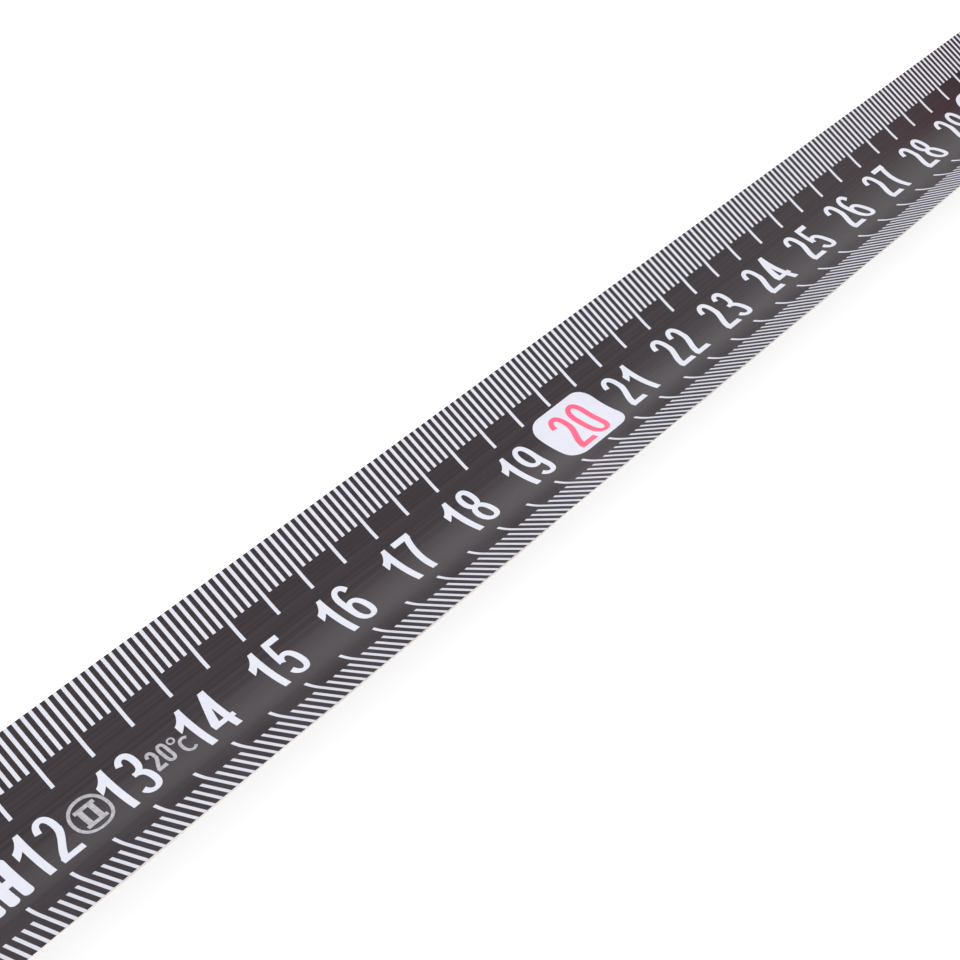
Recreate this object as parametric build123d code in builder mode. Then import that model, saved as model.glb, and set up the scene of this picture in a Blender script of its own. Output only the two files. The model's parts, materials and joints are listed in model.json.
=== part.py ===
from build123d import *
import math
import os

# A pocket tape measure, 5 m of 25 mm blade, standing on its flat base with the blade drawn out
# and locked. Millimetres, +Z up. The origin is the middle of the flat base. The blade runs out
# along -X, so its numbers read upright from the -Y side.

# Blade
BLADE_WIDTH = 25.0
BLADE_THICKNESS = 0.2
BLADE_Z = 9.0            # height of the middle of the blade's underside
BLADE_OUT = 340.0        # reading at the mouth
BEND_RADIUS = 12.2       # curved middle of the section, at the underside
ARC_RUN = 6.7            # half the length of the curved middle, the rest is straight wings
FLAT_RADIUS = 4000.0     # the section where the blade lies flat on the reel
FLAT_FROM = -6.0         # flat from here to the reel
COIL_OUTER = 28.75
HALF_BLADE = BLADE_WIDTH / 2

# Case
NOSE_X = -43.0
BACK_X = 37.5
TOP_Z = 72.5
WALL = 2.3
INNER_HALF = 14.2        # half the inner width
OUTER_HALF = 16.6        # half the outer width
THROUGH = 30.0           # half the length of a cut that goes right through the case
SIDE_ROUND = 2.4         # round along the case's side edges
BACK_CORNER = 22.0       # radius of the corner at the top of the back
NOSE_Z = 18.5            # top of the upright nose
SEAM_Y = 2.0
SEAM_WIDE, SEAM_DEEP = 0.5, 0.35        # line round the outside where the halves meet
REEL_X, REEL_Z = 3.0, 38.0
FRONT_X, FRONT_Z = -39.0, 22.0          # bottom of the sloping front face
FRONT_RUN = (12.9, 41.0)                # rise of the front face
BOSS_RADIUS = 3.0
SCREW_PLACES = [(27.9, 62.9), (-17.4, 65.2), (-33.0, 3.5), (20.0, 4.6)]
SCREW_RADIUS = 1.1
SCREW_HEAD = 2.1
SCREW_SINK = 2.0         # depth of the heads' counterbores
SCREW_SLOT = (2.6, 0.6)  # length and width of each arm of the cross recess
EYE_PLACE = (31.0, 6.5)
EYE_RADIUS = 2.2
BUSH_RADIUS = EYE_RADIUS + 1.2
EYE_BOSS = EYE_RADIUS + 3.0
GRIP = 1.2               # thickness of the rubber round the rim
GRIP_SIDE = 1.0          # thickness of the rubber on the sides
GRIP_ROUND = 3.0
GRIP_HOLE = 26.0         # radius of the window in the rubber
GRIP_FRONT = [(-9, 80), (-16, 54)]      # straight front edge of the rubber
GRIP_FOOT = [(22, 9.5), (50, 9.5), (50, 80)]
GROOVES = 9
GROOVE_FIRST, GROOVE_STEP = 6.0, 9.5    # angles round the back corner
GROOVE_DEEP, GROOVE_WIDE = 1.1, 1.5
BADGE_RADIUS = 17.3
BADGE_RECESS = 0.8
BADGE_PROUD = 0.2
BADGE_LINE = (13.8, 14.6)               # inner and outer radius of the turned groove

# Mouth, all lifts measured from the blade's underside
BED_LIFT = -2.2
PLATE_TOP = -1.6
BUMPER_DEPTH = 3.0
MOUTH_TOP = 15.8
MOUTH_RUN = 12.9
MOUTH_HEIGHT = 20.0      # top of the rubber bumper
HOOK_ZONE_END = -26.0
FLOOR_END = -20.0
FLOOR_TOP = 13.5
BRAKE_BED = 5.4          # length of the bed under the brake

# Reel and spring
ARBOR_RADIUS = 3.5
ARBOR_THREAD = 1.25
ARBOR_CLEAR = 1.6        # the arbor screw's clearance hole in the case and the clip
KEY_HALF, KEY_DEEP = 2.2, 0.9           # square key at the arbor's left end
SPRING_SLOT = 0.4        # half the slot that holds the spring's inner end
RUNNING = 0.06
WASHER_RADIUS = 9.0
HUB_OUTER = 23.2
HUB_INNER = 21.8
FLANGE_RADIUS = 27.0
FLANGE_INSIDE = 12.7
FLANGE_OUTSIDE = 13.5
REEL_BOSS, BOSS_INSIDE = 5.0, 11.5      # boss round the arbor inside each flange
RIM_WALL, RIM_INSIDE = 1.2, 11.2        # rim of the cover that fits in the cup
SPRING_HALF = 10.5
SPRING_START = 5.2
SPRING_PITCH = 1.5
SPRING_STRIP = 0.5
SPRING_HALF_TURNS = 20

# End hook
HOOK_TAB = 1.0           # tab thickness, and the hook's travel on its rivets
HOOK_RUN = 10.5
HOOK_FLANGE = 17.0
HOOK_TOP, HOOK_UNDER = -0.1, -0.8
HOOK_FLOOR_GAP = 0.3
RIVET_RADIUS = 1.2
RIVET_HEAD, RIVET_RISE = 2.2, 0.7
RIVET_TAIL, TAIL_RISE = 2.0, 0.4
RIVET_PLACES = [5.5, 11.5]
DOUBLER = 0.3
DOUBLER_FROM, DOUBLER_LENGTH, DOUBLER_RUN = 2.0, 13.0, 6.0
NOTCH_Z, NOTCH_RADIUS, NOTCH_SLOT = 4.2, 1.5, 1.2       # keyhole in the tab for a nail head
TAB_CORNER = 2.5
ZERO_X = NOSE_X - BLADE_OUT

# Thumb lock
LOCK_TRAVEL = 5.0
LOCK_Z = 31.0            # height of the button's middle on the front face
BUTTON_LENGTH, BUTTON_WIDTH, BUTTON_HEIGHT = 18.0, 15.0, 5.0
BUTTON_LIFT = 0.25       # gap between the button and the front face
BUTTON_CORNER, BUTTON_ROUND = 4.0, 1.6
SCOOP_RADIUS = 13.0      # the thumb's hollow, a cylinder across the button
SCOOP_PLACE = (2.0, 17.0)               # its axis, up along the front face and out from it
STEM = 3.0               # half the stem's side
STEM_PLAY, STEM_SIDE_PLAY = 0.3, 0.2
SLIDE_ENDS = (-13.0, 9.0)
SLIDE_HALF = 7.0
SLIDE_NEAR, SLIDE_FAR = 2.5, 4.7        # depth of the slide plate behind the front face
ARM_HALF = 4.5
FOOT_BOTTOM = 11.9
PAD_FROM, PAD_TO = -25.5, -21.0
PAD_HALF, PAD_GAP = 5.0, 0.12
RAIL_Y = (7.2, 8.7)
RAIL_ENDS = (-8.0, 13.0)
RAIL_DEEP = 5.2          # depth of the rails behind the front face
DETENT_UP = 3.5          # middle of the detent spring above the button's middle
DETENT_SHEET = 0.3
DETENT_HALF = 2.5
DETENT_BUMP = (1.0, 6.0)

# Belt clip
CLIP_SHEET = 1.0
CLIP_WIDTH = 16.0
CLIP_BEND_Z = 58.0
CLIP_GAP = 5.1           # between the case-side leaf and the belt-side leaf
CLIP_SPLIT = 0.6
CLIP_FOOT, CLIP_CORNER = 29.0, 5.0      # lower end of the case-side leaf
CLIP_Y = OUTER_HALF
NUB_Z, NUB_HALF, NUB_RISE = 50.0, 2.0, 0.8              # square nub that keeps the clip upright
CLIP_SCREW_HEAD, CLIP_SCREW_RISE = 3.2, 1.3

os.makedirs("parts", exist_ok=True)

rise = math.hypot(*FRONT_RUN)
UP = (FRONT_RUN[0] / rise, FRONT_RUN[1] / rise)         # up along the front face, in XZ
OUT = (-UP[1], UP[0])                                   # out of the front face, in XZ
LOCK_X = FRONT_X + (LOCK_Z - FRONT_Z) * UP[0] / UP[1]
front = Plane(origin=(LOCK_X, 0, LOCK_Z), x_dir=(UP[0], 0, UP[1]), z_dir=(OUT[0], 0, OUT[1]))


def section_point(run, lift, radius=BEND_RADIUS):
    """A point of the blade's section: run along it from the middle, lift above its underside."""
    turn = min(abs(run), ARC_RUN) / radius
    straight = max(abs(run) - ARC_RUN, 0)
    y = (radius - lift) * math.sin(turn) + straight * math.cos(turn)
    z = radius - (radius - lift) * math.cos(turn) + straight * math.sin(turn)
    return (math.copysign(y, run), BLADE_Z + z)


def section_line(lift, half_run, radius=BEND_RADIUS):
    """Draws the blade's section at one lift, from -half_run to half_run, into the open line."""
    bend = min(half_run, ARC_RUN)
    ThreePointArc(*[section_point(run, lift, radius) for run in (-bend, 0, bend)])
    if half_run > ARC_RUN:
        for side in (-1, 1):
            Line(*[section_point(side * run, lift, radius) for run in (ARC_RUN, half_run)])


def strip_profile(x, low, high, half_run, radius=BEND_RADIUS):
    """The section of a strip that follows the blade, between two lifts."""
    with BuildSketch(Plane.YZ.offset(x)) as profile:
        with BuildLine():
            section_line(low, half_run, radius)
            section_line(high, half_run, radius)
            for side in (-1, 1):
                Line(*[section_point(side * half_run, lift, radius) for lift in (low, high)])
        make_face()
    return profile.sketch


def bed_profile(x, lift, half_run, level):
    """A section that follows the blade at one lift and is closed by a flat at height level."""
    y, z = section_point(half_run, lift)
    with BuildSketch(Plane.YZ.offset(x)) as profile:
        with BuildLine():
            section_line(lift, half_run)
            Polyline((-y, z), (-y, level), (y, level), (y, z))
        make_face()
    return profile.sketch


def case_outline(grow=0.0):
    """The case seen from the side, in XZ."""
    top_x = FRONT_X + (TOP_Z - FRONT_Z) * UP[0] / UP[1]
    corners = [
        (NOSE_X, 0), (BACK_X, 0), (BACK_X, TOP_Z), (top_x, TOP_Z), (FRONT_X, FRONT_Z), (NOSE_X, NOSE_Z),
    ]
    with BuildSketch(Plane.XZ) as outline:
        with BuildLine():
            FilletPolyline(*corners, radius=[3, 9, BACK_CORNER, 20, 6, 3], close=True)
        make_face()
        if grow:
            offset(amount=grow)
    return outline.sketch


def case_body(grow, half_width, edge_radius):
    """The outline made solid, with its two side edges rounded."""
    with BuildPart() as body:
        extrude(case_outline(grow), amount=half_width, both=True)
        if edge_radius:
            fillet(body.faces().filter_by(Axis.Y).edges(), radius=edge_radius)
    return body.part


def seam_line(grow):
    """A ring that cuts the shallow line round the seam."""
    with BuildPart() as ring:
        add(case_body(grow + 1, SEAM_WIDE / 2, 0))
        add(case_body(grow - SEAM_DEEP, SEAM_WIDE, 0), mode=Mode.SUBTRACT)
    return ring.part.moved(Location((0, SEAM_Y, 0)))


def side_cylinder(place, radius, y_from, y_to):
    """A cylinder along Y at an XZ place."""
    with BuildPart() as rod:
        with BuildSketch(Plane.XZ.offset(-y_from)):
            with Locations(place):
                Circle(radius)
        extrude(amount=y_from - y_to)
    return rod.part


def block(x_from, x_to, y_from, y_to, z_from, z_to):
    """A box between two corners."""
    with BuildPart() as solid:
        with Locations(((x_from + x_to) / 2, (y_from + y_to) / 2, (z_from + z_to) / 2)):
            Box(x_to - x_from, y_to - y_from, z_to - z_from)
    return solid.part


def front_block(a_from, a_to, y_from, y_to, deep_from, deep_to):
    """A box on the front face: a up along it, depth inward from it."""
    with BuildPart() as solid:
        with BuildSketch(front.offset(-deep_to)):
            with Locations(((a_from + a_to) / 2, (y_from + y_to) / 2)):
                Rectangle(a_to - a_from, y_to - y_from)
        extrude(amount=deep_to - deep_from)
    return solid.part


def finish(piece, name):
    """Labels a piece and writes it."""
    piece.part.label = name
    export_step(piece.part, f"parts/{name}.step")


outer_body = case_body(0.0, OUTER_HALF, SIDE_ROUND)
inner_body = case_body(-WALL, INNER_HALF, 0)
grip_body = case_body(GRIP, OUTER_HALF + GRIP_SIDE, GRIP_ROUND)
reel_centre = (REEL_X, REEL_Z)

# Case: a hollow shell with screw bosses, a bed for the blade at the mouth and rails for the lock
with BuildPart() as case_blank:
    add(outer_body)
    add(inner_body, mode=Mode.SUBTRACT)
    with BuildSketch(Plane.XZ.offset(-INNER_HALF)):
        with Locations(*SCREW_PLACES):
            Circle(BOSS_RADIUS)
        with Locations(EYE_PLACE):
            Circle(EYE_BOSS)
    extrude(amount=2 * INNER_HALF)
    add(block(NOSE_X + 1, FLOOR_END, -INNER_HALF, INNER_HALF, 1.0, FLOOR_TOP))
    for side in (-1, 1):
        near, far = sorted(side * y for y in RAIL_Y)
        add(front_block(*RAIL_ENDS, near, far, WALL - 0.5, RAIL_DEEP))
    add(outer_body, mode=Mode.INTERSECT)
    extrude(bed_profile(NOSE_X - 1, BED_LIFT, MOUTH_RUN, MOUTH_TOP), amount=FLOOR_END - NOSE_X + 2,
            mode=Mode.SUBTRACT)
    add(block(NOSE_X - 1, NOSE_X + BUMPER_DEPTH, -THROUGH, THROUGH, -1, MOUTH_HEIGHT), mode=Mode.SUBTRACT)
    stem_slot = STEM + STEM_SIDE_PLAY
    add(front_block(-STEM - STEM_PLAY, STEM + LOCK_TRAVEL + STEM_PLAY, -stem_slot, stem_slot, -1.0, 4.0),
        mode=Mode.SUBTRACT)
    add(side_cylinder(EYE_PLACE, BUSH_RADIUS, -THROUGH, THROUGH), mode=Mode.SUBTRACT)
    add(seam_line(0), mode=Mode.SUBTRACT)

with BuildPart() as case_left:
    add(case_blank.part)
    split(bisect_by=Plane.XZ.offset(-SEAM_Y), keep=Keep.TOP)
    add(side_cylinder(reel_centre, BADGE_RADIUS + 0.15, -THROUGH, -OUTER_HALF + BADGE_RECESS),
        mode=Mode.SUBTRACT)
    for place in SCREW_PLACES:
        add(side_cylinder(place, SCREW_RADIUS, -9.0, SEAM_Y + 1), mode=Mode.SUBTRACT)
    socket = KEY_HALF + 0.1
    add(block(REEL_X - socket, REEL_X + socket, -INNER_HALF - KEY_DEEP - 0.1, -INNER_HALF + 1,
              REEL_Z - socket, REEL_Z + socket), mode=Mode.SUBTRACT)

with BuildPart() as case_right:
    add(case_blank.part)
    split(bisect_by=Plane.XZ.offset(-SEAM_Y), keep=Keep.BOTTOM)
    for place in SCREW_PLACES:
        add(side_cylinder(place, SCREW_RADIUS + 0.2, 0, THROUGH), mode=Mode.SUBTRACT)
        add(side_cylinder(place, SCREW_HEAD + 0.2, OUTER_HALF - SCREW_SINK, THROUGH), mode=Mode.SUBTRACT)
    add(side_cylinder(reel_centre, ARBOR_CLEAR, 0, THROUGH), mode=Mode.SUBTRACT)
    add(block(REEL_X - NUB_HALF, REEL_X + NUB_HALF, OUTER_HALF - 0.1, OUTER_HALF + NUB_RISE,
              NUB_Z - NUB_HALF, NUB_Z + NUB_HALF))

# Rubber grips moulded round the top and back of each half
with BuildPart() as grip_blank:
    add(grip_body)
    with BuildSketch(Plane.XZ.offset(-THROUGH)):
        with BuildLine():
            Polyline(*GRIP_FRONT, reel_centre, *GRIP_FOOT, close=True)
        make_face()
        with Locations(reel_centre):
            Circle(GRIP_HOLE, mode=Mode.SUBTRACT)
    extrude(amount=2 * THROUGH, mode=Mode.INTERSECT)
    for groove in range(GROOVES):
        with BuildSketch(Plane.XZ.offset(-THROUGH)):
            with Locations((BACK_X - BACK_CORNER, TOP_Z - BACK_CORNER)):
                with PolarLocations(BACK_CORNER + GRIP, 1, start_angle=GROOVE_FIRST + groove * GROOVE_STEP):
                    Rectangle(GROOVE_DEEP, GROOVE_WIDE)
        extrude(amount=2 * THROUGH, mode=Mode.SUBTRACT)
    add(outer_body, mode=Mode.SUBTRACT)
    add(seam_line(GRIP), mode=Mode.SUBTRACT)

with BuildPart() as grip_left:
    add(grip_blank.part)
    split(bisect_by=Plane.XZ.offset(-SEAM_Y), keep=Keep.TOP)

with BuildPart() as grip_right:
    add(grip_blank.part)
    split(bisect_by=Plane.XZ.offset(-SEAM_Y), keep=Keep.BOTTOM)
    add(side_cylinder(SCREW_PLACES[0], SCREW_HEAD + 0.6, OUTER_HALF - 1, THROUGH), mode=Mode.SUBTRACT)

# Mouth: a rubber bumper for the hook, a curved steel plate and the bed under the brake
with BuildPart() as mouth_bumper:
    add(outer_body)
    add(block(NOSE_X - 1, NOSE_X + BUMPER_DEPTH, -THROUGH, THROUGH, -1, MOUTH_HEIGHT), mode=Mode.INTERSECT)
    extrude(bed_profile(NOSE_X - 1, BED_LIFT, MOUTH_RUN, MOUTH_TOP), amount=BUMPER_DEPTH + 2,
            mode=Mode.SUBTRACT)

with BuildPart() as mouth_plate:
    extrude(strip_profile(NOSE_X + 0.5, BED_LIFT, PLATE_TOP, MOUTH_RUN - 0.7),
            amount=HOOK_ZONE_END - NOSE_X - 0.7)

with BuildPart() as brake_bed:
    extrude(strip_profile(HOOK_ZONE_END + 0.3, BED_LIFT, -0.15, 10.0), amount=BRAKE_BED)

with BuildPart() as badge_disc:
    add(side_cylinder(reel_centre, BADGE_RADIUS, -OUTER_HALF - BADGE_PROUD, -OUTER_HALF + BADGE_RECESS))
    fillet(badge_disc.faces().sort_by(Axis.Y)[0].edges(), radius=0.4)
    with BuildSketch(Plane.XZ.offset(OUTER_HALF + BADGE_PROUD)):
        with Locations(reel_centre):
            Circle(BADGE_LINE[1])
            Circle(BADGE_LINE[0], mode=Mode.SUBTRACT)
    extrude(amount=-0.3, mode=Mode.SUBTRACT)

# Screws, all put in from the clip side
with BuildPart() as case_screws:
    for place in SCREW_PLACES:
        add(side_cylinder(place, SCREW_HEAD, OUTER_HALF - SCREW_SINK, OUTER_HALF - 0.4))
        add(side_cylinder(place, SCREW_RADIUS, -8.0, OUTER_HALF - SCREW_SINK))
        with BuildSketch(Plane.XZ.offset(-OUTER_HALF + 0.4)):
            with Locations(place):
                Rectangle(*SCREW_SLOT)
                Rectangle(*reversed(SCREW_SLOT))
        extrude(amount=0.8, mode=Mode.SUBTRACT)

with BuildPart() as lanyard_bush:
    with BuildSketch(Plane.XZ.offset(-OUTER_HALF)):
        with Locations(EYE_PLACE):
            Circle(BUSH_RADIUS)
    extrude(amount=2 * OUTER_HALF)
    add(side_cylinder(EYE_PLACE, EYE_RADIUS, -THROUGH, THROUGH), mode=Mode.SUBTRACT)

# Arbor: the fixed post, keyed into the left half, that the reel turns on
with BuildPart() as arbor:
    add(side_cylinder(reel_centre, ARBOR_RADIUS, -INNER_HALF, INNER_HALF))
    add(block(REEL_X - KEY_HALF, REEL_X + KEY_HALF, -INNER_HALF - KEY_DEEP, -INNER_HALF,
              REEL_Z - KEY_HALF, REEL_Z + KEY_HALF))
    add(side_cylinder(reel_centre, ARBOR_THREAD, 2.0, THROUGH), mode=Mode.SUBTRACT)
    add(block(REEL_X - SPRING_SLOT, REEL_X + SPRING_SLOT, -9.5, 0.5, REEL_Z - 4, REEL_Z + 4),
        mode=Mode.SUBTRACT)

with BuildPart() as thrust_washer_left:
    add(side_cylinder(reel_centre, WASHER_RADIUS, -INNER_HALF + 0.05, -FLANGE_OUTSIDE - 0.05))
    add(side_cylinder(reel_centre, ARBOR_RADIUS + 0.1, -THROUGH, THROUGH), mode=Mode.SUBTRACT)

with BuildPart() as thrust_washer_right:
    add(thrust_washer_left.part.mirror(Plane.XZ))

# Reel: a cup and a cover, with the wound blade round it and the power spring inside it
with BuildPart() as reel_cup:
    add(side_cylinder(reel_centre, FLANGE_RADIUS, -FLANGE_OUTSIDE, -FLANGE_INSIDE))
    add(side_cylinder(reel_centre, HUB_OUTER, -FLANGE_INSIDE, FLANGE_INSIDE))
    add(side_cylinder(reel_centre, HUB_INNER, -FLANGE_INSIDE, FLANGE_INSIDE + 1), mode=Mode.SUBTRACT)
    add(side_cylinder(reel_centre, REEL_BOSS, -FLANGE_INSIDE - 0.1, -BOSS_INSIDE))
    add(side_cylinder(reel_centre, ARBOR_RADIUS + RUNNING, -THROUGH, THROUGH), mode=Mode.SUBTRACT)

with BuildPart() as reel_cover:
    rim = HUB_INNER - 0.1
    add(side_cylinder(reel_centre, FLANGE_RADIUS, FLANGE_INSIDE, FLANGE_OUTSIDE))
    add(side_cylinder(reel_centre, rim, RIM_INSIDE, FLANGE_INSIDE + 0.1))
    add(side_cylinder(reel_centre, rim - RIM_WALL, RIM_INSIDE - 0.2, FLANGE_INSIDE), mode=Mode.SUBTRACT)
    add(side_cylinder(reel_centre, REEL_BOSS, BOSS_INSIDE, FLANGE_INSIDE + 0.1))
    add(side_cylinder(reel_centre, ARBOR_RADIUS + RUNNING, -THROUGH, THROUGH), mode=Mode.SUBTRACT)

with BuildPart() as power_spring:
    with BuildSketch(Plane.XZ.offset(-SPRING_HALF)):
        with BuildLine():
            quarter = SPRING_PITCH / 4
            for edge in (0, SPRING_STRIP):
                for turn in range(SPRING_HALF_TURNS):
                    radius = SPRING_START + turn * SPRING_PITCH / 2 + quarter + edge
                    side = 1 if turn % 2 == 0 else -1
                    x = REEL_X + side * quarter
                    ThreePointArc((x - side * radius, REEL_Z), (x, REEL_Z + side * radius),
                                  (x + side * radius, REEL_Z))
            last = SPRING_START + SPRING_HALF_TURNS * SPRING_PITCH / 2
            Line((REEL_X - SPRING_START, REEL_Z), (REEL_X - SPRING_START - SPRING_STRIP, REEL_Z))
            Line((REEL_X - last, REEL_Z), (REEL_X - last - SPRING_STRIP, REEL_Z))
        make_face()
    extrude(amount=2 * SPRING_HALF)

with BuildPart() as blade_coil:
    add(side_cylinder(reel_centre, COIL_OUTER, -HALF_BLADE, HALF_BLADE))
    add(side_cylinder(reel_centre, HUB_OUTER + 0.05, -THROUGH, THROUGH), mode=Mode.SUBTRACT)

# Blade: curved outside the case, flattening behind the brake to meet the coil
with BuildPart() as blade_strip:
    blade_end = ZERO_X + HOOK_TAB + 0.2
    extrude(strip_profile(blade_end, 0, BLADE_THICKNESS, HALF_BLADE), amount=FLOOR_END - blade_end)
    loft([
        strip_profile(FLOOR_END, 0, BLADE_THICKNESS, HALF_BLADE),
        strip_profile(FLAT_FROM, 0, BLADE_THICKNESS, HALF_BLADE, FLAT_RADIUS),
    ], ruled=True)
    extrude(strip_profile(FLAT_FROM, 0, BLADE_THICKNESS, HALF_BLADE, FLAT_RADIUS), amount=REEL_X - FLAT_FROM)
    for place in RIVET_PLACES:
        with Locations((ZERO_X + place, 0, BLADE_Z)):
            Cylinder(RIVET_RADIUS, 5, mode=Mode.SUBTRACT)

with BuildPart() as hook_doubler:
    extrude(strip_profile(ZERO_X + DOUBLER_FROM, BLADE_THICKNESS, BLADE_THICKNESS + DOUBLER, DOUBLER_RUN),
            amount=DOUBLER_LENGTH)
    for place in RIVET_PLACES:
        with Locations((ZERO_X + place, 0, BLADE_Z)):
            Cylinder(RIVET_RADIUS, 5, mode=Mode.SUBTRACT)

with BuildPart() as hook_rivets:
    head_z = BLADE_Z + BLADE_THICKNESS + DOUBLER
    tail_z = BLADE_Z + HOOK_UNDER - 0.05
    for place in RIVET_PLACES:
        with BuildSketch(Plane.XY.offset(tail_z - TAIL_RISE)):
            with Locations((ZERO_X + place, 0)):
                Circle(RIVET_TAIL)
        extrude(amount=TAIL_RISE)
        with BuildSketch(Plane.XY.offset(tail_z)):
            with Locations((ZERO_X + place, 0)):
                Circle(RIVET_RADIUS)
        extrude(amount=head_z - tail_z)
        with BuildSketch(Plane.XY.offset(head_z)):
            with Locations((ZERO_X + place, 0)):
                Circle(RIVET_HEAD)
        extrude(amount=RIVET_RISE, taper=25)
    add(hook_doubler.part, mode=Mode.SUBTRACT)

# End hook: a curved flange under the blade, slotted for its travel, and a tab with a nail notch
with BuildPart() as end_hook:
    extrude(strip_profile(ZERO_X - HOOK_TAB, HOOK_UNDER, HOOK_TOP, HOOK_RUN), amount=HOOK_TAB + HOOK_FLANGE)
    extrude(bed_profile(ZERO_X - HOOK_TAB, HOOK_TOP, HOOK_RUN, HOOK_FLOOR_GAP), amount=HOOK_TAB)
    for place in RIVET_PLACES:
        with BuildSketch(Plane.XY):
            with Locations((ZERO_X + place - HOOK_TAB / 2, 0)):
                SlotOverall(2 * RIVET_RADIUS + HOOK_TAB + 0.2, 2 * RIVET_RADIUS + 0.2)
        extrude(amount=20, mode=Mode.SUBTRACT)
    with BuildSketch(Plane.YZ.offset(ZERO_X - HOOK_TAB - 1)):
        with Locations((0, NOTCH_Z)):
            Circle(NOTCH_RADIUS)
        with Locations((0, NOTCH_Z / 2 - 0.1)):
            Rectangle(NOTCH_SLOT, NOTCH_Z + 0.2)
    extrude(amount=HOOK_TAB + 2, mode=Mode.SUBTRACT)
    lowest = end_hook.edges().filter_by(Axis.X).group_by(Axis.Z)[0]
    fillet(lowest.filter_by(lambda edge: abs(edge.center().Y) > HOOK_RUN / 2), radius=TAB_CORNER)

# Thumb lock: a button, the slide behind the front face and the brake pad on its foot
with BuildPart() as lock_button:
    with BuildSketch(front.offset(BUTTON_LIFT)):
        RectangleRounded(BUTTON_LENGTH, BUTTON_WIDTH, BUTTON_CORNER)
    extrude(amount=BUTTON_HEIGHT)
    fillet(lock_button.faces().sort_by(Axis(front.origin, front.z_dir))[-1].edges(), radius=BUTTON_ROUND)
    with BuildSketch(Plane(origin=(LOCK_X, -THROUGH, LOCK_Z), x_dir=(UP[0], 0, UP[1]), z_dir=(0, 1, 0))):
        with Locations((SCOOP_PLACE[0], -SCOOP_PLACE[1])):
            Circle(SCOOP_RADIUS)
    extrude(amount=2 * THROUGH, mode=Mode.SUBTRACT)
    add(front_block(-STEM, STEM, -STEM, STEM, -1.5, 4.0), mode=Mode.SUBTRACT)

with BuildPart() as lock_slide:
    add(front_block(*SLIDE_ENDS, -SLIDE_HALF, SLIDE_HALF, SLIDE_NEAR, SLIDE_FAR))
    add(front_block(-STEM, STEM, -STEM, STEM, -1.5, SLIDE_NEAR + 0.1))
    with BuildSketch(Plane.XZ.offset(-ARM_HALF)):
        with BuildLine():
            Polyline((-37.5, 18.6), (-35.6, FOOT_BOTTOM), (PAD_TO + 0.2, FOOT_BOTTOM), (PAD_TO + 0.2, 13.4),
                     (-30.5, 14.6), (-33.0, 22.0), (-36.4, 21.6), close=True)
        make_face()
    extrude(amount=2 * ARM_HALF)

with BuildPart() as brake_pad:
    extrude(bed_profile(PAD_FROM, BLADE_THICKNESS + PAD_GAP, PAD_HALF, FOOT_BOTTOM), amount=PAD_TO - PAD_FROM)

with BuildPart() as detent_spring:
    add(front_block(DETENT_UP - DETENT_HALF, DETENT_UP + DETENT_HALF, -RAIL_Y[1], RAIL_Y[1],
                    RAIL_DEEP, RAIL_DEEP + DETENT_SHEET))
    with BuildSketch(front.offset(-RAIL_DEEP)):
        with Locations((DETENT_UP, 0)):
            Rectangle(*DETENT_BUMP)
    extrude(amount=0.3, taper=20)

# Belt clip: a leaf held on the case by the arbor's screw, and the leg that springs away from it
with BuildPart() as clip_base:
    with BuildSketch(Plane.XZ.offset(-CLIP_Y)):
        with BuildLine():
            low, high, half = CLIP_FOOT, CLIP_BEND_Z - CLIP_SPLIT, CLIP_WIDTH / 2
            FilletPolyline((REEL_X - half, high), (REEL_X - half, low), (REEL_X + half, low),
                           (REEL_X + half, high), radius=CLIP_CORNER)
            Line((REEL_X + half, high), (REEL_X - half, high))
        make_face()
        with Locations(reel_centre):
            Circle(ARBOR_CLEAR, mode=Mode.SUBTRACT)
        with Locations((REEL_X, NUB_Z)):
            Rectangle(2 * NUB_HALF + 0.2, 2 * NUB_HALF + 0.2, mode=Mode.SUBTRACT)
    extrude(amount=-CLIP_SHEET)

with BuildPart() as belt_clip:
    near = CLIP_Y + CLIP_SHEET / 2
    far = near + CLIP_SHEET + CLIP_GAP
    bend = (far - near) / 2
    with BuildLine(Plane.YZ.offset(REEL_X)) as leg:
        ThreePointArc((near, CLIP_BEND_Z), (near + bend, CLIP_BEND_Z + bend), (far, CLIP_BEND_Z))
        FilletPolyline((far, CLIP_BEND_Z), (far, 32.0), (far - 0.5, 24.0), (far + 2.6, 18.0), radius=3)
    with BuildSketch(Plane(origin=(REEL_X, near, CLIP_BEND_Z), x_dir=(1, 0, 0), z_dir=(0, 0, 1))):
        Rectangle(CLIP_WIDTH, CLIP_SHEET)
    sweep()

with BuildPart() as clip_screw:
    head_y = CLIP_Y + CLIP_SHEET
    add(side_cylinder(reel_centre, ARBOR_THREAD, 5.0, head_y))
    add(side_cylinder(reel_centre, CLIP_SCREW_HEAD, head_y, head_y + CLIP_SCREW_RISE))
    fillet(clip_screw.faces().sort_by(Axis.Y)[-1].edges(), radius=0.7)

pieces = {
    "case_left": case_left, "case_right": case_right, "grip_left": grip_left, "grip_right": grip_right,
    "mouth_bumper": mouth_bumper, "mouth_plate": mouth_plate, "brake_bed": brake_bed,
    "badge_disc": badge_disc, "case_screws": case_screws, "lanyard_bush": lanyard_bush, "arbor": arbor,
    "thrust_washer_left": thrust_washer_left, "thrust_washer_right": thrust_washer_right,
    "reel_cup": reel_cup, "reel_cover": reel_cover, "power_spring": power_spring,
    "blade_coil": blade_coil, "blade_strip": blade_strip, "hook_doubler": hook_doubler,
    "hook_rivets": hook_rivets, "end_hook": end_hook, "lock_button": lock_button,
    "lock_slide": lock_slide, "brake_pad": brake_pad, "detent_spring": detent_spring,
    "clip_base": clip_base, "belt_clip": belt_clip, "clip_screw": clip_screw,
}
for name, piece in pieces.items():
    finish(piece, name)
print("front up", [round(v, 5) for v in UP], "bend pivot", REEL_X, round(near + bend, 3), CLIP_BEND_Z)
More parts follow.
